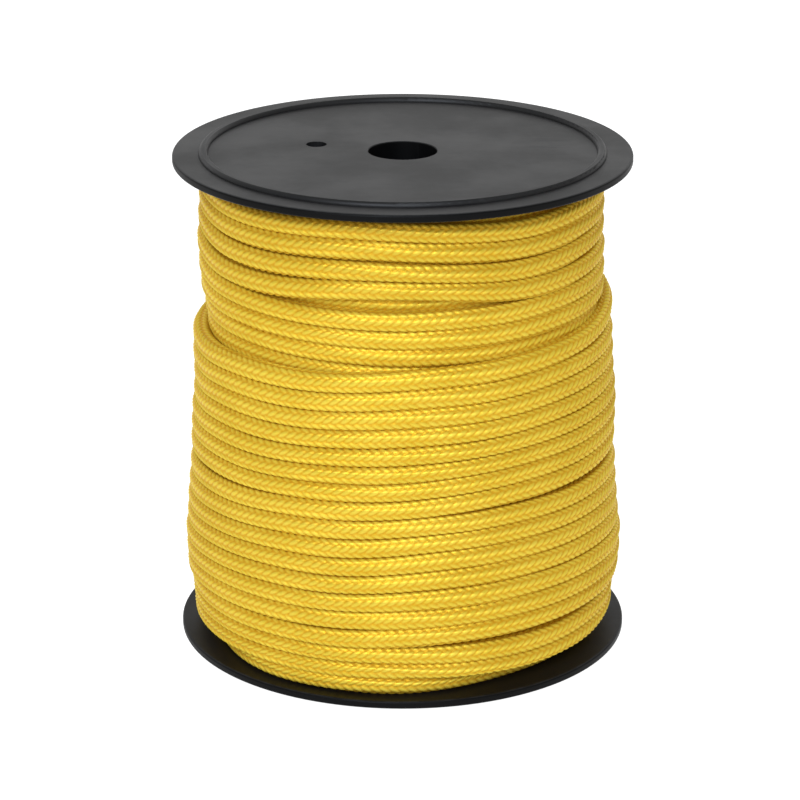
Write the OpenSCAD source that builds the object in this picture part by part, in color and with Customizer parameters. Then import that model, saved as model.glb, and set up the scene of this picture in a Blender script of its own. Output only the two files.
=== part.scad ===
// Plastic spool of braided cord, standing on its lower flange.
// +Z runs along the spool's axis and the origin is the centre of the base.
// Millimetres throughout.

/* [Flanges] */
// Diameter of each flange
flange_d = 200; // [200:2:240]
// Height of the spool between the outer faces of its flange plates
face_to_face = 220; // [200:5:260]
// Thickness of a flange plate
flange_t = 3.5; // [2.5:0.5:5]
// Radius that rounds the two edges of a flange's rim
rim_round = 1; // [0.5:0.25:1.25]
// Diameter of the stacking bead on a flange's outer face, on its centre line
bead_ring_d = 173; // [150:1:180]
// Width of the stacking bead where it meets the face
bead_w = 4.2; // [4:0.1:5]
// Height of the stacking bead above the face
bead_h = 1.9; // [0.5:0.1:1.9]

/* [Bore and drive hole] */
// Diameter of the spindle bore through both flanges
bore_d = 30; // [20:1:40]
// Chamfer on the bore's outer edge
bore_chamfer = 0.4; // [0.2:0.1:0.8]
// Diameter of the drive-pin hole in each flange
drive_d = 9; // [5:0.5:9]
// Distance of the drive-pin hole from the spool's axis
drive_r = 39; // [33:1:39]
// Direction of the drive-pin hole, in degrees from +X towards +Y
drive_angle = 165; // [0:5:355]

/* [Barrel and hub] */
// Outside diameter of the barrel that the cord is wound on
barrel_d = 96; // [96:1:110]
// Wall thickness of the barrel
barrel_wall = 2.5; // [2:0.25:3]
// Depth that each flange's spigot reaches into the barrel
spigot_h = 12; // [8:1:20]
// Wall thickness of the spigot
spigot_wall = 1.5; // [1:0.1:1.5]
// Radial gap between the spigot and the barrel
spigot_gap = 0.1; // [0.05:0.05:0.3]
// Radius of the snap bead round the spigot
snap_r = 0.6; // [0.3:0.1:0.7]
// Length of the hub collar round the bore, inside the flange
collar_h = 14; // [8:1:30]
// Wall thickness of the hub collar
collar_wall = 3; // [2:0.5:4]
// Number of ribs between the hub collar and the spigot
rib_count = 6; // [3:1:6]
// Thickness of a rib
rib_t = 2; // [1.5:0.25:3]
// Height of a rib
rib_h = 8; // [4:1:12]

/* [Cord] */
// Diameter of the cord's solids
cord_d = 7.8; // [7:0.1:8]
// Number of turns side by side in a full layer
full_turns = 25; // [20:1:25]
// Number of full layers
full_layers = 6; // [2:1:6]
// Radial step from one full layer to the next, less than a diameter because turns nest
layer_step = 6.7; // [6.7:0.1:7]
// Number of turns in the part-filled outer layer
outer_turns = 18; // [4:1:20]
// Spacing of the turns in the outer layer
outer_pitch = 8.25; // [8.1:0.05:8.4]
// Direction in which the loose end stops, in degrees from +X towards +Y
end_angle = 118; // [60:1:170]

/* [Tape] */
// Width of the strip of tape that holds the loose end
tape_w = 25; // [15:1:40]
// Length of the strip along the spool's axis
tape_l = 34; // [25:1:50]
// Thickness of the strip
tape_t = 0.4; // [0.3:0.05:0.6]

/* [Hidden] */
$fn = 96;

plastic = [0.10, 0.10, 0.105];
cord_yellow = [0.92, 0.77, 0.22];
tape_cream = [0.85, 0.83, 0.76];

flange_r = flange_d / 2;
bore_r = bore_d / 2;
barrel_r = barrel_d / 2;
total_h = face_to_face + 2 * bead_h;
inner_z = bead_h + flange_t;              // the lower flange's inner face
winding_h = face_to_face - 2 * flange_t;  // room between the flanges
barrel_bore_r = barrel_r - barrel_wall;
spigot_r = barrel_bore_r - spigot_gap;
snap_z = 2 * spigot_h / 3;                // the snap bead's height on the spigot
rib_offset = drive_angle + 180 / rib_count;

cord_r = cord_d / 2;
turn_pitch = winding_h / full_turns;
skin_gap = 0.05;                          // keeps touching curved solids apart
web_t = 2.4;                              // joins the turns of one layer into a solid
first_layer_r = barrel_r + skin_gap + cord_r;
last_full_r = first_layer_r + (full_layers - 1) * layer_step;
outer_layer_r = last_full_r + cord_d + 2 * skin_gap;
outer_first_z = inner_z + turn_pitch / 2;
end_z = outer_first_z + outer_turns * outer_pitch;
tape_r = outer_layer_r + cord_r + 2 * skin_gap;

// Half of a flange's section: plate with a rounded rim, bead, spigot and collar.
module flange_section() {
    difference() {
        union() {
            translate([bore_r, bead_h])
                square([flange_r - rim_round - bore_r, flange_t]);
            translate([bore_r, bead_h + rim_round])
                square([flange_r - bore_r, flange_t - 2 * rim_round]);
            for (z = [rim_round, flange_t - rim_round])
                translate([flange_r - rim_round, bead_h + z]) circle(rim_round, $fn = 32);
            intersection() {
                translate([bead_ring_d / 2, bead_h]) circle(d = bead_w, $fn = 48);
                translate([bead_ring_d / 2 - bead_w, 0]) square([2 * bead_w, inner_z]);
            }
            translate([bore_r, inner_z - 1]) square([collar_wall, collar_h + 1]);
            translate([spigot_r - spigot_wall, inner_z - 1])
                square([spigot_wall, spigot_h + 1]);
            translate([spigot_r, inner_z + snap_z]) circle(snap_r, $fn = 32);
        }
        translate([bore_r, bead_h]) rotate(45)
            square(bore_chamfer * sqrt(2), center = true);
    }
}

// A flange with its outer face down, as it lies under the winding.
module flange() {
    difference() {
        union() {
            rotate_extrude($fn = 180) flange_section();
            for (i = [0 : rib_count - 1])
                rotate(rib_offset + i * 360 / rib_count)
                    translate([bore_r + collar_wall / 2, -rib_t / 2, inner_z - 1])
                        cube([spigot_r - spigot_wall / 2 - bore_r - collar_wall / 2,
                              rib_t, rib_h + 1]);
        }
        rotate(drive_angle) translate([drive_r, 0, -1])
            cylinder(d = drive_d, h = inner_z + 2);
    }
}

module bottom_flange() {
    color(plastic) flange();
}

module top_flange() {
    color(plastic) translate([0, 0, total_h]) mirror([0, 0, 1]) flange();
}

// Tube between the flanges, with a groove at each end for the spigots' snap beads.
module barrel() {
    color(plastic) translate([0, 0, inner_z]) rotate_extrude($fn = 180)
        difference() {
            translate([barrel_bore_r, 0]) square([barrel_wall, winding_h]);
            for (z = [snap_z, winding_h - snap_z])
                translate([barrel_bore_r, z]) circle(snap_r + 0.2, $fn = 32);
        }
}

// One layer of the winding: side-by-side turns on one radius, joined by a thin web.
module wound_layer(radius, first_z, turns, pitch) {
    color(cord_yellow) rotate_extrude($fn = 120) {
        for (i = [0 : turns - 1])
            translate([radius, first_z + i * pitch]) circle(cord_r, $fn = 32);
        translate([radius - web_t / 2, first_z]) square([web_t, (turns - 1) * pitch]);
    }
}

// Full layers alternate by half a turn, so each turn lies in the groove below it.
module full_layer(n) {
    shifted = n % 2 == 0 ? 1 : 0;
    wound_layer(first_layer_r + (n - 1) * layer_step,
                inner_z + (1 + shifted) * turn_pitch / 2,
                full_turns - shifted, turn_pitch);
}

module outer_layer() {
    wound_layer(outer_layer_r, outer_first_z, outer_turns, outer_pitch);
}

// The last part turn, lying on the full layers above the outer layer.
module cord_free_end() {
    color(cord_yellow) translate([0, 0, end_z]) rotate_extrude(angle = end_angle, $fn = 120)
        translate([outer_layer_r, 0]) circle(cord_r, $fn = 32);
}

// Curved strip over the loose end and the turns beside it.
module end_tape() {
    tape_mid = end_angle - 6;
    tape_low = end_z + tape_l / 4 - tape_l;
    color(tape_cream) intersection() {
        translate([0, 0, tape_low]) difference() {
            cylinder(r = tape_r + tape_t, h = tape_l, $fn = 180);
            translate([0, 0, -1]) cylinder(r = tape_r, h = tape_l + 2, $fn = 180);
        }
        rotate(tape_mid) translate([0, -tape_w / 2, 0]) cube([flange_r, tape_w, total_h]);
    }
}

top_flange();
bottom_flange();
barrel();
full_layer(1);  // cord_layer_1
full_layer(2);  // cord_layer_2
full_layer(3);  // cord_layer_3
full_layer(4);  // cord_layer_4
full_layer(5);  // cord_layer_5
full_layer(6);  // cord_layer_6
outer_layer();  // cord_layer_7
cord_free_end();
end_tape();
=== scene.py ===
"""A black plastic spool of yellow braided cord, standing on its lower flange in a white studio.

The flanges and the barrel are the CAD parts. The winding, its loose end and the tape
that holds the loose end are modelled here. Lengths in the shape functions are
millimetres, with heights from the lower edge of the lower flange's rim, and meshes
are scaled to metres and lifted onto the base plane when they are made. A place along
the cord of a layer is its turn count, in whole turns from the side that faces the
camera. Materials work in metres.
"""

import math

import bpy
import numpy as np
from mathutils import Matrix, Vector

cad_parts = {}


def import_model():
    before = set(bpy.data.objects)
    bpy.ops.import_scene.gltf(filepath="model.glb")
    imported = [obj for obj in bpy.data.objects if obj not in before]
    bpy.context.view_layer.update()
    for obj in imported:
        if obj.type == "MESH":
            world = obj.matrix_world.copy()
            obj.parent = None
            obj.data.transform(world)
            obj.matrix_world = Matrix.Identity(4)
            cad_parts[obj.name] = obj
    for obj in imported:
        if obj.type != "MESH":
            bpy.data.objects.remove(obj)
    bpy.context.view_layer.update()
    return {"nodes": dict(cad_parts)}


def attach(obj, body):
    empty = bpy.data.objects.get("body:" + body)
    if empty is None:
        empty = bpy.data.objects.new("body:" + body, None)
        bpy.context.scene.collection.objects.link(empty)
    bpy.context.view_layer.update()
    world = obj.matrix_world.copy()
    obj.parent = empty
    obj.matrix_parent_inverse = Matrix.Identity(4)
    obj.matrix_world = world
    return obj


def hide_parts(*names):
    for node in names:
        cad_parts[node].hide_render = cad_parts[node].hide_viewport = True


MM = 0.001
TURN = 2 * np.pi
FRONT = -np.pi / 2          # the direction that faces the camera
RIM_Z = 1.9                 # the flanges' rims stand this far above the base
FLANGE_Z = (3.5, 216.5)     # inner faces of the two flanges, above the lower rim

# The cord, pressed a little flat as it lies in the winding
CORD_A = 3.85               # radial half size
CORD_B = 4.2                # axial half size
STRANDS = 8                 # strands that run each way round the braid
BRAID_LEAD = 30.0           # length of cord in which a strand goes once round
STRAND_T = 1.0              # thickness of a strand
STRAND_LIFT = 0.45          # how far a strand rises over the ones it crosses
BRAID_MEAN = 0.95           # mean height of the braid's surface over its core

# The winding's layers, as turn counts and radii
FIRST_LAYER_R = 51.95       # centre line of the innermost layer's cord
LAYER_STEP = 6.7            # radial step from one layer to the next
LAYER_TURNS = 24.2          # turns of a hidden layer
END_GAP = 4.3               # from a flange to the centre line of the turn beside it
FIFTH_SHOWS = 16.0          # the fifth layer can be seen between turns from here on
SIXTH_START = -0.45
SIXTH_HIDDEN = 8.5          # below this turn the outer layer covers the sixth
SIXTH_END = 23.65
OUTER_START = -0.35
SUNK_R = 82.3               # where the outer layer's cord comes up from the layer beneath
LOOSE_START = 17.25
LOOSE_END = 17.58           # where the cord stops

# Radius of the winding's outside against height, for the two layers that show
OUTER_SURFACE = [(5, 93.2), (22, 94.0), (34, 96.4), (46, 97.0), (60, 95.6), (80, 94.5),
                 (100, 93.6), (125, 92.4), (152, 91.8)]
SIXTH_SURFACE = [(5, 86.2), (22, 87.0), (34, 89.4), (46, 90.0), (60, 88.6), (80, 87.5),
                 (100, 86.6), (125, 85.4), (150, 85.6), (163, 87.9), (178, 88.6), (200, 88.0)]
# How far the hidden layers swell under them
HIDDEN_SWELL = [(5, -1.0), (22, -1.0), (46, 2.3), (60, 1.2), (100, -0.7), (150, -2.3),
                (165, 0.0), (200, 0.0)]

# Distance between the rings of a cord's mesh, and its points round a ring
SHOWN_GAP = 0.6
GLIMPSED_GAP = 0.9
HIDDEN_GAP = 6.0
FINE = np.radians(np.concatenate([np.arange(-100, 100.1, 200 / 36), [124, 152, 180, 208, 236]]))
COARSE = np.radians(np.arange(0, 360, 45))

# The spool's features that its material marks, in metres
BORE_R = 0.015
BEAD_R = 0.0865             # crest of the stacking bead
FLANGE_R = 0.1
PIN_HOLE = (-0.03767, 0.01009)
BURR = (-0.0377, 0.0112)    # middle of the raised edge round the pin hole


# ---------------------------------------------------------------- small helpers

def smooth(low, high, x):
    """0 below low, 1 above high, and an even curve between."""
    t = np.clip((x - low) / (high - low), 0, 1)
    return t * t * (3 - 2 * t)


def bell(centre, width, x):
    return np.exp(-((x - centre) / width) ** 2)


def window(low, high, edge, x):
    """1 between low and high, fading to 0 over the width of an edge outside them."""
    return smooth(low - edge, low, x) * (1 - smooth(high, high + edge, x))


def through(points, x):
    """A smooth curve through a few (x, y) points, level beyond its ends."""
    xs = np.array([p[0] for p in points], float)
    ys = np.array([p[1] for p in points], float)
    i = np.clip(np.searchsorted(xs, x) - 1, 0, len(xs) - 2)
    return ys[i] + (ys[i + 1] - ys[i]) * smooth(xs[i], xs[i + 1], x)


def ripple(theta, z, seed, waves, reach):
    """Seeded unevenness, the same after a full circle, alike over heights less than reach."""
    rng = np.random.default_rng(seed)
    total = 0 * theta
    for k in waves:
        phase = rng.uniform(0, TURN)
        drift = rng.uniform(-1.2, 1.2) / reach
        total = total + np.cos(k * theta + phase + drift * z) / len(waves) ** 0.5
    return total


# ---------------------------------------------------------------- the winding's shape

def turn_angle(turn):
    return FRONT + TURN * turn


def degrees_right(turn):
    """Direction in degrees from the front, positive to the right, between -180 and 180."""
    return (turn * 360 + 180) % 360 - 180


def outer_height(turn):
    """Height of the outer layer's cord, which climbs as it goes round."""
    turn = np.asarray(turn, float)
    theta = turn_angle(turn)
    across = degrees_right(turn)
    z = 7.1 + 8.14 * turn
    z = z - 2.2 * bell(2.4, 1.3, turn) - 1.0 * bell(13.7, 2.2, turn) + 0.9 * bell(9, 2.6, turn)
    z = z + outer_slant(theta, z)
    z = z + 0.35 * smooth(20, 40, z) * ripple(theta, z, 5, (2, 3, 5, 7), 14)
    z = z - low_turns_sag(turn)
    z = z - left_dip(across, z)
    z = z - right_dip(across, z)
    z = z - 1.6 * window(1.05, 1.15, 0.07, turn) - 0.7 * window(2.05, 2.2, 0.07, turn)
    z = z + 1.9 * window(3.05, 3.35, 0.1, turn)
    z = np.maximum(z, FLANGE_Z[0] + CORD_B)
    return z + 5.5 * smooth(17.14, 17.31, turn) + 2.5 * smooth(17.31, LOOSE_END, turn)


def outer_slant(theta, z):
    """How far the slanted turns of the outer layer lie from level, which changes with height."""
    high_side = np.radians(-75) * (1 - smooth(78, 96, z))
    size = 5.0 * smooth(16, 46, z) - 3.0 * smooth(78, 98, z)
    return size * (np.cos(theta - high_side) - np.cos(FRONT - high_side))


def low_turns_sag(turn):
    """Sag of the second and third turns, right of the front."""
    share = turn % 1
    reach = smooth(0.02, 0.12, share) * (1 - smooth(0.25, 0.45, share))
    return reach * (1.9 * bell(1.2, 0.45, turn) + 1.2 * bell(2.2, 0.4, turn))


def left_dip(across, z):
    reach = (1 - smooth(-30, 14, across)) * smooth(-150, -90, across)
    return reach * (0.8 * bell(25, 5, z) + 2.1 * smooth(36, 66, z) + 0.7 * bell(76, 8, z))


def right_dip(across, z):
    reach = window(20, 110, 30, across)
    return reach * (1.1 * bell(83, 6, z) - 0.9 * bell(104, 8, z) + 0.6 * bell(140, 10, z))


def outer_radius(turn):
    """Radius of the outer layer's centre line, which starts sunk in the layer below."""
    turn = np.asarray(turn, float)
    theta = turn_angle(turn)
    z = outer_height(turn)
    r = through(OUTER_SURFACE, z) - CORD_A
    r = r + 0.5 * np.cos(theta) * (bell(114, 12, z) + bell(46, 14, z))
    r = r + 0.3 * ripple(theta, z, 11, (1, 2, 3, 5), 16)
    lead_in = 1 - smooth(-0.21, -0.09, turn)
    dip_after = smooth(-0.02, 0.1, turn) * (1 - smooth(0.5, 0.75, turn))
    return r + (SUNK_R - r) * (lead_in + dip_after)


def sixth_height(turn):
    """Height of the sixth layer's cord, which comes down as it goes round."""
    turn = np.asarray(turn, float)
    theta = turn_angle(turn)
    share = turn % 1
    z = 208.3 - 8.3 * turn
    z = z - 2.9 * smooth(2.5, 2.8, turn) + 3.3 * bell(3.02, 0.09, turn)
    z = z - 1.0 * window(1.85, 2.2, 0.1, turn)
    z = z - 2.2 * smooth(3.3, 3.9, turn) - 1.1 * bell(3.93, 0.08, turn)
    upper = smooth(168, 184, z)
    wave = 1.1 * upper + 0.2
    z = z + wave * (np.cos(4 * (theta + np.radians(98))) - 0.8)
    right = smooth(-0.02, 0.22, share) * (1 - smooth(0.4, 0.7, share))
    z = z + 1.8 * (1 - upper) * right
    z = z + 0.055 * (turn - 4) * smooth(8, 9, turn)
    return np.minimum(z, FLANGE_Z[1] - CORD_B)


def sixth_radius(turn):
    turn = np.asarray(turn, float)
    theta = turn_angle(turn)
    z = sixth_height(turn)
    r = through(SIXTH_SURFACE, z) - CORD_A + 0.3 * ripple(theta, z, 21, (1, 2, 3, 5), 16)
    r = r - 0.8 * np.cos(theta) * bell(186, 16, z)
    return r - LAYER_STEP * (1 - smooth(SIXTH_START, -0.28, turn))


def layer_start(layer):
    """Turn count at which a hidden layer starts. Each goes on where the one inside it ends."""
    return SIXTH_START - LAYER_TURNS * (6 - layer)


def hidden_path(layer):
    """Height and radius of a hidden layer's cord, as functions of the turn count."""
    start = layer_start(layer)

    def height(turn):
        share = np.clip((turn - start) / 24.0, 0, 1)
        if layer % 2 == 0:
            share = 1 - share
        return FLANGE_Z[0] + END_GAP + share * (FLANGE_Z[1] - FLANGE_Z[0] - 2 * END_GAP)

    def radius(turn):
        swell = through(HIDDEN_SWELL, height(turn))
        r = FIRST_LAYER_R + LAYER_STEP * (layer - 1) + swell * (layer / 6) ** 1.5
        if layer > 1:
            r = r - LAYER_STEP * (1 - smooth(0, 0.16, turn - start))
        return r

    return height, radius


# ---------------------------------------------------------------- room between turns

def full_room(turns):
    return CORD_B + 0 * turns, CORD_B + 0 * turns


def gap_room(height, turns):
    """Axial half sizes that keep a turn clear of the turns that follow and precede it."""
    here = height(turns)
    after = np.abs(height(turns + 1) - here) / 2
    before = np.abs(here - height(turns - 1)) / 2
    return np.minimum(after, CORD_B), np.minimum(before, CORD_B)


def outer_room(turns):
    """Half sizes upward and downward of the outer layer's cord."""
    up_half, down_half = gap_room(outer_height, turns)
    floor = outer_height(turns) - FLANGE_Z[0]
    down_half = np.minimum(np.where(turns < 1, CORD_B, down_half), floor)
    up_half = np.where(turns > LOOSE_END - 1, CORD_B, up_half)
    return up_half, down_half


def sixth_room(turns):
    """The same for the sixth layer, whose following turns lie below."""
    down_half, up_half = gap_room(sixth_height, turns)
    ceiling = np.minimum(CORD_B, FLANGE_Z[1] - sixth_height(turns))
    return np.where(turns < 1, ceiling, up_half), down_half


# ---------------------------------------------------------------- the cord as a mesh

def cord_frame(angle, radius, height):
    """Points of the centre line with its outward, upward and forward directions."""
    centre = np.stack([radius * np.cos(angle), radius * np.sin(angle), height], -1)
    ahead = np.gradient(centre, axis=0)
    ahead /= np.linalg.norm(ahead, axis=1, keepdims=True)
    out = np.stack([np.cos(angle), np.sin(angle), 0 * angle], -1)
    up = np.cross(out, ahead)
    up /= np.linalg.norm(up, axis=1, keepdims=True)
    out = np.cross(ahead, up)
    return centre, out, up, ahead


def braid_height(run, phi):
    """Height of the braid over its core, where the downward strands are on top, and both
    strands' numbers.

    Eight strands run each way, and each passes over two and then under two."""
    down = STRANDS * (phi / TURN + run / BRAID_LEAD)
    rise = STRANDS * (phi / TURN - run / BRAID_LEAD)
    over = np.cos(np.pi / 2 * (down + rise - 1.5))

    def strand(x):
        across = (x % 1 - 0.5) / 0.54
        return STRAND_T * np.sqrt(np.maximum(0, 1 - across ** 2))

    down_h = STRAND_LIFT * over + strand(down)
    rise_h = -STRAND_LIFT * over + strand(rise)
    return np.maximum(down_h, rise_h), down_h > rise_h, down, rise


def cord_outline(phi, braid, room):
    """Outline of the cord's cross-section, outward and upward, flattened by its neighbours."""
    up_half, down_half = room
    squeeze = np.clip(CORD_B / (0.5 * (up_half + down_half)), 1, 1.12)
    a = (CORD_A * squeeze)[:, None] - BRAID_MEAN
    b = np.where(np.sin(phi) > 0, up_half[:, None], down_half[:, None]) - BRAID_MEAN
    c, s = np.cos(phi), np.sin(phi)
    full = (np.abs(c) ** 3 + np.abs(s) ** 3) ** (-1 / 3)
    return a * full * c + braid * c, b * full * s + braid * s


def end_shape(run, tip):
    """Where the cord is melted into a seal at its tip, and how much its end is rounded."""
    left = run[-1] - run[:, None] if tip else np.full_like(run[:, None], 1e3)
    seal = 1 - smooth(1.0, 5.5, left)
    rounded = np.sqrt(np.clip(1 - np.clip(1 - left / 3.0, 0, 1) ** 2, 0.0004, 1))
    return seal, rounded


def across_fibres(phi, down_on_top, out, up, ahead):
    """Direction across the fibres of the strand on top, for the gloss along them."""
    c, s = np.cos(phi)[..., None], np.sin(phi)[..., None]
    side = -out[:, None] * s + up[:, None] * c
    lean = np.where(down_on_top, -0.87, 0.87)[..., None]
    fibre = ahead[:, None] + lean * side
    fibre /= np.linalg.norm(fibre, axis=-1, keepdims=True)
    return np.cross(out[:, None] * c + up[:, None] * s, fibre)


def cord_mesh(name, turns, path, run_start, around, room, tip):
    """One length of cord over the given turn counts. Returns the object and its end run."""
    height, radius = path
    angle = turn_angle(turns)
    z = height(turns)
    centre, out, up, ahead = cord_frame(angle, radius(turns), z)
    step = np.linalg.norm(np.diff(centre, axis=0), axis=1)
    run = run_start + np.concatenate([[0], np.cumsum(step)])
    phi = around[None, :]
    twist = np.radians(26 + 6 * ripple(angle, z, 31, (3, 4, 6, 8, 11), 18))
    braid, down_on_top, down, rise = braid_height(run[:, None], phi - twist[:, None])
    seal, rounded = end_shape(run, tip)
    braid = braid * (1 - seal) + 0.45 * seal
    x, y = cord_outline(phi, braid, room(turns))
    points = (centre[:, None] + out[:, None] * (x * rounded)[..., None]
              + up[:, None] * (y * rounded)[..., None])
    obj = tube(name, points, run, {
        # How low each point lies in the braid, for the painted shade in the grooves.
        "groove": np.clip((1.40 - braid) / 0.6, 0, 1),
        "seal": seal + 0 * braid,
        "strand": np.where(down_on_top, down, rise + 31.7),
        "across": across_fibres(phi, down_on_top, out, up, ahead),
    })
    return obj, run[-1]


def tube(name, points, run, attributes):
    """A closed tube through rings of points. Its caps have vertices of their own, so that
    the shading doesn't turn over their edges."""
    rings, around = points.shape[:2]
    verts = with_caps(points, points[0].mean(0, keepdims=True), points[-1].mean(0, keepdims=True))
    verts = (verts + [0, 0, RIM_Z]) * MM
    quads, caps = tube_faces(rings, around)
    corners = np.concatenate([quads.ravel(), caps.ravel()])
    starts = np.concatenate([np.arange(len(quads)) * 4,
                             len(quads) * 4 + np.arange(len(caps)) * 3])
    mesh = bpy.data.meshes.new(name)
    mesh.vertices.add(len(verts))
    mesh.vertices.foreach_set("co", verts.ravel().astype(np.float32))
    mesh.loops.add(len(corners))
    mesh.loops.foreach_set("vertex_index", corners.astype(np.int32))
    mesh.polygons.add(len(starts))
    mesh.polygons.foreach_set("loop_start", starts.astype(np.int32))
    mesh.polygons.foreach_set("use_smooth", np.ones(len(starts), bool))
    layout(mesh, rings, around, run[-1] - run[0], len(caps))
    for key, value in attributes.items():
        store(mesh, key, value)
    mesh.update(calc_edges=True)
    mesh.validate()
    return placed(name, mesh)


def with_caps(rings, first_middle, last_middle):
    """Rows for the rings' vertices, then for the middle and the rim of each end cap."""
    body = rings.reshape(-1, rings.shape[-1])
    return np.concatenate([body, first_middle, rings[0], last_middle, rings[-1]])


def tube_faces(rings, around):
    """Corner numbers of the quads between the rings and of the caps' triangles."""
    i = np.arange(rings - 1)[:, None]
    j = np.arange(around)
    k = (j + 1) % around
    quads = np.stack([i * around + j, i * around + k, (i + 1) * around + k,
                      (i + 1) * around + j], -1).reshape(-1, 4)
    first = rings * around
    last = first + around + 1
    start = np.stack([first + 1 + k, first + 1 + j, np.full(around, first)], -1)
    stop = np.stack([last + 1 + j, last + 1 + k, np.full(around, last)], -1)
    return quads, np.concatenate([start, stop])


def store(mesh, key, value):
    """Keeps one value or vector for each vertex of a tube's mesh."""
    value = np.asarray(value, np.float32)
    kind, field = ("FLOAT_VECTOR", "vector") if value.ndim == 3 else ("FLOAT", "value")
    value = value.reshape(*value.shape[:2], -1)
    flat = with_caps(value, value[0, :1], value[-1, :1])
    mesh.attributes.new(key, kind, "POINT").data.foreach_set(field, flat.ravel())


def layout(mesh, rings, around, length, cap_count):
    """Unwraps the tube into strips that fill the unit square."""
    strips = max(1, round(math.sqrt(length / 26)))
    per_strip = math.ceil((rings - 1) / strips)
    i = np.arange(rings - 1)[:, None]
    strip = i // per_strip
    left = (i - strip * per_strip) / per_strip
    right = left + 1 / per_strip
    j = np.arange(around)[None, :] / around
    low = (strip + 0.03 + 0.94 * j) / strips
    high = (strip + 0.03 + 0.94 * (j + 1 / around)) / strips
    left, right = 0.004 + 0.992 * (left + 0 * j), 0.004 + 0.992 * (right + 0 * j)
    quads = np.stack([np.stack([left, low], -1), np.stack([left, high], -1),
                      np.stack([right, high], -1), np.stack([right, low], -1)], -2)
    caps = np.tile([[0.001, 0.001], [0.002, 0.001], [0.0015, 0.002]], (cap_count, 1))
    mesh.uv_layers.new(name="OFBake")
    flat = np.concatenate([quads.reshape(-1, 2), caps]).astype(np.float32)
    mesh.uv_layers["OFBake"].data.foreach_set("uv", flat.ravel())


def placed(name, mesh):
    obj = bpy.data.objects.new(name, mesh)
    bpy.context.scene.collection.objects.link(obj)
    return obj


# ---------------------------------------------------------------- winding the cord

class Winding:
    """The cord laid so far: its pieces, and its length, so that the braid runs on."""

    def __init__(self):
        self.pieces = []
        self.run = 0.0

    def lay(self, title, node, path, start, stop, count, ring_gap, room=full_room, tip=False):
        """Adds a stretch of cord as a number of pieces, each starting where one ends."""
        around = COARSE if ring_gap == HIDDEN_GAP else FINE
        edges = np.linspace(start, stop, count + 1)
        for n in range(count):
            mean_r = float(path[1](edges[n]))
            rings = int(TURN * mean_r * (edges[n + 1] - edges[n]) / ring_gap) + 1
            turns = np.linspace(edges[n], edges[n + 1], rings)
            name = title if count == 1 else f"{title}_{n + 1:02d}"
            obj, self.run = cord_mesh(name, turns, path, self.run, around, room,
                                      tip and n == count - 1)
            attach(obj, "root")
            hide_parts(node)
            self.pieces.append(obj)


def wind_spool():
    """All of the cord. The hidden turns are plain and the ones that show are braided."""
    cord = Winding()
    for n in range(1, 6):
        start = layer_start(n)
        stop = start + (FIFTH_SHOWS if n == 5 else LAYER_TURNS)
        cord.lay(f"cord_layer{n}", f"cord_layer_{n}", hidden_path(n), start, stop, 1, HIDDEN_GAP)
    start = layer_start(5)
    cord.lay("cord_layer5_upper", "cord_layer_5", hidden_path(5), start + FIFTH_SHOWS,
             start + LAYER_TURNS, 3, GLIMPSED_GAP)
    sixth = (sixth_height, sixth_radius)
    cord.lay("cord_layer6_upper", "cord_layer_6", sixth, SIXTH_START, SIXTH_HIDDEN, 4, SHOWN_GAP,
             sixth_room)
    cord.lay("cord_layer6_lower", "cord_layer_6", sixth, SIXTH_HIDDEN, SIXTH_END, 1, HIDDEN_GAP)
    outer = (outer_height, outer_radius)
    cord.lay("cord_layer7", "cord_layer_7", outer, OUTER_START, LOOSE_START, 9, SHOWN_GAP,
             outer_room)
    cord.lay("cord_loose_end", "cord_free_end", outer, LOOSE_START, LOOSE_END, 1, SHOWN_GAP,
             outer_room, tip=True)
    return cord.pieces


# ---------------------------------------------------------------- the tape

def winding_surface(angle, heights):
    """Radius of the winding's outside at one direction, for an array of heights."""
    share = (angle - FRONT) / TURN
    surface = np.zeros_like(heights)
    for height, radius, last in ((outer_height, outer_radius, LOOSE_END),
                                 (sixth_height, sixth_radius, 12)):
        for turn in np.arange(share, last, 1.0):
            off = np.clip((heights - height(turn)) / CORD_B, -1, 1)
            turn_r = radius(turn) + CORD_A * np.sqrt(1 - off ** 2)
            surface = np.maximum(surface, turn_r * (np.abs(off) < 1))
    return surface


def tape_strip():
    """Masking tape across the loose end, pressed down over the turns on both sides."""
    middle = turn_angle(LOOSE_END) - np.radians(6)
    angles = np.linspace(middle - 0.135, middle + 0.135, 36)
    heights = np.linspace(131, 167, 96)
    wide = np.linspace(120, 178, 400)
    rows = []
    for angle in angles:
        bridge = winding_surface(angle, wide)[None, :] - (heights[:, None] - wide[None, :]) ** 2 / 16
        rows.append(bridge.max(1))
    theta, z = angles[:, None], heights[None, :]
    radius = np.array(rows) + 0.85 + 0.12 * ripple(theta * 9, z, 41, (1, 2, 3, 5), 3)
    ragged = 0.5 * ripple(theta * 12, 0 * z, 43, (2, 3, 7), 3)
    level = z + ragged * np.abs(z - heights.mean()) / 18
    outside, inside = (np.stack([r * np.cos(theta), r * np.sin(theta), level], -1)
                       for r in (radius, radius - 0.3))
    obj = sheet("tape_strip", outside, inside)
    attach(obj, "root")
    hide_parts("end_tape")
    return obj


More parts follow.
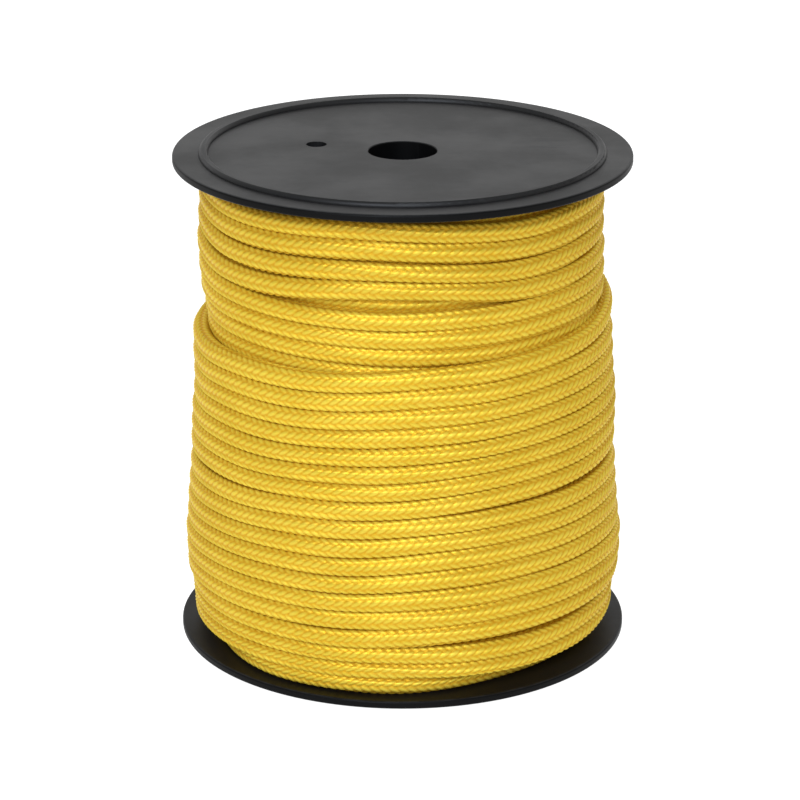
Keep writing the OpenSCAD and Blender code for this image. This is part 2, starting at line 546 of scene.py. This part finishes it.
def sheet(name, outer, inner):
    """A thin closed sheet between two grids of points."""
    n, m = outer.shape[:2]
    verts = (np.concatenate([outer.reshape(-1, 3), inner.reshape(-1, 3)]) + [0, 0, RIM_Z]) * MM
    faces = []
    for i in range(n - 1):
        for j in range(m - 1):
            a, b, c, d = i * m + j, (i + 1) * m + j, (i + 1) * m + j + 1, i * m + j + 1
            faces.append((a, b, c, d))
            faces.append((d + n * m, c + n * m, b + n * m, a + n * m))
    rim = [i * m for i in range(n)] + [(n - 1) * m + j for j in range(1, m)]
    rim += [i * m + m - 1 for i in range(n - 2, -1, -1)] + list(range(m - 2, 0, -1))
    for a, b in zip(rim, rim[1:] + rim[:1]):
        faces.append((b, a, a + n * m, b + n * m))
    mesh = bpy.data.meshes.new(name)
    mesh.from_pydata(verts.tolist(), [], faces)
    mesh.polygons.foreach_set("use_smooth", [True] * len(faces))
    return placed(name, mesh)


# ---------------------------------------------------------------- materials

class Nodes:
    """A short way to build a node material."""

    def __init__(self, name):
        self.material = bpy.data.materials.new(name)
        self.material.use_nodes = True
        self.tree = self.material.node_tree
        self.tree.nodes.clear()

    def plug(self, node, key, value):
        """Links an input to another node's output, or sets it to a constant."""
        if isinstance(value, bpy.types.NodeSocket):
            self.tree.links.new(value, node.inputs[key])
        else:
            node.inputs[key].default_value = value

    def add(self, kind, inputs=None, **settings):
        node = self.tree.nodes.new(kind)
        for key, value in settings.items():
            setattr(node, key, value)
        for key, value in (inputs or {}).items():
            self.plug(node, key, value)
        return node

    def math(self, operation, *values):
        node = self.add("ShaderNodeMath", operation=operation)
        for n, value in enumerate(values):
            self.plug(node, n, value)
        return node.outputs[0]

    def largest(self, first, *others):
        for other in others:
            first = self.math("MAXIMUM", first, other)
        return first

    def blend(self, factor, a, b):
        node = self.add("ShaderNodeMix", {0: factor, 6: a, 7: b}, data_type="RGBA")
        return node.outputs[2]

    def ramp(self, value, low, high, to_low=0.0, to_high=1.0):
        node = self.add("ShaderNodeMapRange", {"Value": value, "From Min": low, "From Max": high,
                                               "To Min": to_low, "To Max": to_high},
                        interpolation_type="SMOOTHSTEP")
        return node.outputs["Result"]

    def noise(self, vector, scale, detail=2.0, roughness=0.5):
        node = self.add("ShaderNodeTexNoise", {"Vector": vector, "Scale": scale,
                                               "Detail": detail, "Roughness": roughness})
        return node.outputs["Fac"]

    def distance(self, x, y, to_x, to_y):
        across = self.math("POWER", self.math("SUBTRACT", x, to_x), 2.0)
        along = self.math("POWER", self.math("SUBTRACT", y, to_y), 2.0)
        return self.math("SQRT", self.math("ADD", across, along))

    def place(self):
        return self.add("ShaderNodeTexCoord").outputs["Object"]

    def scaled(self, vector, x, y, z):
        node = self.add("ShaderNodeMapping", {"Vector": vector, "Scale": (x, y, z)})
        return node.outputs["Vector"]

    def stored(self, name, output="Fac"):
        return self.add("ShaderNodeAttribute", attribute_name=name).outputs[output]

    def bump(self, height, strength, distance):
        node = self.add("ShaderNodeBump", {"Height": height, "Strength": strength,
                                           "Distance": distance})
        return node.outputs[0]

    def finish(self, **inputs):
        shader = self.add("ShaderNodeBsdfPrincipled",
                          {key.replace("_", " "): value for key, value in inputs.items()})
        out = self.add("ShaderNodeOutputMaterial")
        self.tree.links.new(shader.outputs[0], out.inputs[0])
        return self.material


def rgb(r, g, b):
    return (r, g, b, 1.0)


def cord_material():
    """Glossy yellow fibre. Painted shade turns it orange in the grooves between strands and turns,
    darker towards the top and darker still just under the upper flange, and a faint orange glow is
    painted light that stands in for light bounced between the cords.
    """
    m = Nodes("braided_cord")
    place = m.place()
    drift = m.ramp(m.noise(place, 38, 3), 0.35, 0.65)
    speck = m.ramp(m.noise(place, 420, 2), 0.3, 0.7)
    base = m.blend(drift, rgb(0.585, 0.435, 0.036), rgb(0.64, 0.485, 0.047))
    base = m.blend(m.math("MULTIPLY", speck, 0.35), base, rgb(0.72, 0.565, 0.080))
    # Painted shade: orange where the braid lies low, between strands and between turns.
    groove_shade = m.ramp(m.stored("groove"), 0.0, 1.0, 0.0, 0.75)
    base = m.blend(groove_shade, base, rgb(0.52, 0.235, 0.004))
    # Painted shade: the cord darkens a little towards the top, and much more just under the upper
    # flange, where the flange's shadow falls.
    height = m.add("ShaderNodeSeparateXYZ", {"Vector": place}).outputs["Z"]
    shade_tint = rgb(0.24, 0.10, 0.004)
    base = m.blend(m.ramp(height, 0.155, 0.2, 0.0, 0.14), base, shade_tint)
    base = m.blend(m.ramp(height, 0.2085, 0.2165, 0.0, 0.6), base, shade_tint)
    base = m.blend(m.stored("seal"), base, rgb(0.30, 0.14, 0.012))
    lines = m.add("ShaderNodeCombineXYZ", {"X": m.math("MULTIPLY", m.stored("strand"), 9.0)})
    fibres = m.noise(lines.outputs[0], 1.0, 2, 0.6)
    # The faint orange glow is painted light, standing in for light bounced between the cords.
    return m.finish(Base_Color=base, Roughness=m.ramp(speck, 0.0, 1.0, 0.36, 0.46),
                    Normal=m.bump(fibres, 0.25, 0.0002), Tangent=m.stored("across", "Vector"),
                    Metallic=0.35, Anisotropic=0.85, Specular_IOR_Level=0.15,
                    Specular_Tint=rgb(1.0, 0.85, 0.35), Emission_Color=rgb(1.0, 0.36, 0.0),
                    Emission_Strength=0.02)


def plastic_material():
    """Satin black plastic. Its edges and the bead's crest are lighter, partly from wear and partly a
    painted highlight, and painted shade darkens its holes, the rims' outer faces and the low faces
    near the winding.
    """
    m = Nodes("spool_plastic")
    place = m.place()
    axes = m.add("ShaderNodeSeparateXYZ", {"Vector": place})
    x, y, z = (axes.outputs[axis] for axis in "XYZ")
    radius = m.distance(x, y, 0.0, 0.0)
    cloud = m.ramp(m.noise(place, 22, 4, 0.6), 0.3, 0.7)
    streak = m.noise(m.scaled(place, 1.0, 12.0, 1.0), 30, 3, 0.6)

    # Painted shade: the rims' outer faces, the walls of the bore and of the pin hole, and the low
    # faces near the winding are darkened towards black, and reflect less.
    side = m.ramp(radius, FLANGE_R - 0.0005, FLANGE_R - 0.0002)
    pin_hole = m.ramp(m.distance(x, y, *PIN_HOLE), 0.00445, 0.0046, 1.0, 0.0)
    bore = m.ramp(radius, BORE_R, BORE_R + 0.0002, 1.0, 0.0)
    low_face_shade = m.ramp(z, 0.010, 0.030, 0.6, 0.0)
    shade = m.largest(side, bore, pin_hole, low_face_shade)

    # The bead's crest, the rim's top edge and the raised edge round the pin hole are lighter: partly
    # wear, partly a painted highlight.
    crest = m.ramp(m.distance(radius, 0.0, BEAD_R, 0.0), 0.0001, 0.0007, 1.0, 0.0)
    rim = m.math("SUBTRACT", m.ramp(radius, FLANGE_R - 0.0014, FLANGE_R - 0.0007), side)
    burr = m.ramp(m.distance(x, y, *BURR), 0.0046, 0.0058, 1.0, 0.0)
    patchy = m.ramp(m.noise(place, 160, 3), 0.35, 0.65, 0.1, 0.5)
    wear_and_highlight = m.math("MULTIPLY", m.largest(crest, rim, burr), patchy)
    patch = m.ramp(m.distance(x, y, 0.061, 0.012), 0.003, 0.016, 1.0, 0.0)
    rubbed = m.math("MULTIPLY", patch, m.ramp(streak, 0.5, 0.62, 0.0, 0.7))
    scuff_and_highlight = m.largest(m.ramp(streak, 0.62, 0.75, 0.0, 0.35), wear_and_highlight, rubbed)

    base = m.blend(cloud, rgb(0.0055, 0.0055, 0.0058), rgb(0.0085, 0.0083, 0.0080))
    # Lighter where scuffed and rubbed, and on those edges, where wear and a painted highlight meet.
    base = m.blend(scuff_and_highlight, base, rgb(0.035, 0.035, 0.036))
    # Painted shade: darkened towards black where the masks above mark it.
    base = m.blend(m.math("MULTIPLY", shade, 0.7), base, rgb(0.0, 0.0, 0.0))
    rough = m.math("MULTIPLY_ADD", scuff_and_highlight, 0.15, m.math("MULTIPLY_ADD", cloud, 0.1, 0.42))
    return m.finish(Base_Color=base, Roughness=rough,
                    Normal=m.bump(m.noise(place, 1500, 2, 0.5), 0.12, 0.0001),
                    Specular_IOR_Level=m.ramp(shade, 0.0, 1.0, 0.24, 0.08))


def barrel_material():
    m = Nodes("barrel_plastic")
    place = m.place()
    base = m.blend(m.noise(place, 30, 3, 0.6), rgb(0.010, 0.010, 0.010), rgb(0.014, 0.014, 0.014))
    return m.finish(Base_Color=base, Roughness=0.5,
                    Normal=m.bump(m.noise(place, 1200, 2), 0.1, 0.0001))


def tape_material():
    """Cream crepe paper, stained in places, with fine creases across it."""
    m = Nodes("masking_tape")
    place = m.place()
    crepe = m.noise(m.scaled(place, 120, 120, 1500), 1.0, 3, 0.6)
    stain = m.ramp(m.noise(place, 90, 3), 0.3, 0.7)
    base = m.blend(stain, rgb(0.70, 0.62, 0.45), rgb(0.62, 0.53, 0.35))
    # Painted shade: the crepe's creases are darker where they lie low.
    base = m.blend(m.ramp(crepe, 0.35, 0.55, 0.35, 0.0), base, rgb(0.45, 0.37, 0.22))
    return m.finish(Base_Color=base, Roughness=m.ramp(crepe, 0.3, 0.7, 0.55, 0.7),
                    Normal=m.bump(crepe, 0.5, 0.0003), Specular_IOR_Level=0.3)


def floor_material():
    m = Nodes("studio_floor")
    tone = m.ramp(m.noise(m.place(), 6, 2), 0.3, 0.7)
    base = m.blend(tone, rgb(0.30, 0.30, 0.30), rgb(0.31, 0.31, 0.31))
    return m.finish(Base_Color=base, Roughness=0.9, Specular_IOR_Level=0.0,
                    Emission_Color=rgb(1.0, 1.0, 1.0), Emission_Strength=1.0)


# ---------------------------------------------------------------- studio

def studio():
    half = 6.0
    corners = [(-half, -half, 0), (half, -half, 0), (half, half, 0), (-half, half, 0)]
    floor_mesh = bpy.data.meshes.new("floor")
    floor_mesh.from_pydata(corners, [], [(0, 1, 2, 3)])
    floor_mesh.materials.append(floor_material())
    placed("floor", floor_mesh)
    bpy.context.scene.world = studio_world()
    key_light()


def studio_world():
    """A room that is light at the horizon and behind the spool, and dimmer overhead."""
    world = bpy.data.worlds.new("studio")
    world.use_nodes = True
    tree = world.node_tree
    place = tree.nodes.new("ShaderNodeTexCoord")
    split = tree.nodes.new("ShaderNodeSeparateXYZ")
    tree.links.new(place.outputs["Generated"], split.inputs[0])
    level = world_range(tree, split.outputs["Z"], (0.0, 0.15), (0.8, 0.58))
    behind = world_range(tree, split.outputs["Y"], (0.2, 0.8), (1.0, 1.7))
    strength = tree.nodes.new("ShaderNodeMath")
    strength.operation = "MULTIPLY"
    tree.links.new(level, strength.inputs[0])
    tree.links.new(behind, strength.inputs[1])
    background = tree.nodes["Background"]
    background.inputs["Color"].default_value = rgb(1, 1, 1)
    tree.links.new(strength.outputs[0], background.inputs["Strength"])
    return world


def world_range(tree, value, given, wanted):
    """Carries a value from one range over to another."""
    node = tree.nodes.new("ShaderNodeMapRange")
    tree.links.new(value, node.inputs["Value"])
    for key, number in zip(("From Min", "From Max", "To Min", "To Max"), given + wanted):
        node.inputs[key].default_value = number
    return node.outputs["Result"]


def key_light():
    """A large soft lamp, high in front of the spool and a little to the left."""
    light = bpy.data.lights.new("key", "AREA")
    light.shape = "SQUARE"
    light.size = 0.8
    light.energy = 25
    light.color = (0.92, 1.0, 1.12)
    obj = placed("key", light)
    obj.location = (-0.3, -1.5, 1.05)
    aim_at(obj, Vector((0, 0, 0.1)))


def camera():
    rise = math.radians(19.6)
    target = Vector((-0.00116, 0, 0.10497 + RIM_Z * MM))
    data = bpy.data.cameras.new("camera")
    data.lens = 147.9
    data.sensor_width = 36
    obj = placed("camera", data)
    obj.location = target + 1.465 * Vector((0, -math.cos(rise), math.sin(rise)))
    aim_at(obj, target)
    bpy.context.scene.camera = obj


def aim_at(obj, target):
    obj.rotation_euler = (target - obj.location).to_track_quat("-Z", "Y").to_euler()


# ---------------------------------------------------------------- the scene


def dress(piece, material):
    piece.data.materials.clear()
    piece.data.materials.append(material)


def build():
    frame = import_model()
    plastic = plastic_material()
    dress(frame["nodes"]["top_flange"], plastic)
    dress(frame["nodes"]["bottom_flange"], plastic)
    dress(frame["nodes"]["barrel"], barrel_material())
    cord = cord_material()
    for piece in wind_spool():
        dress(piece, cord)
    dress(tape_strip(), tape_material())
    studio()
    camera()
    bpy.context.scene.view_settings.view_transform = "Standard"


build()
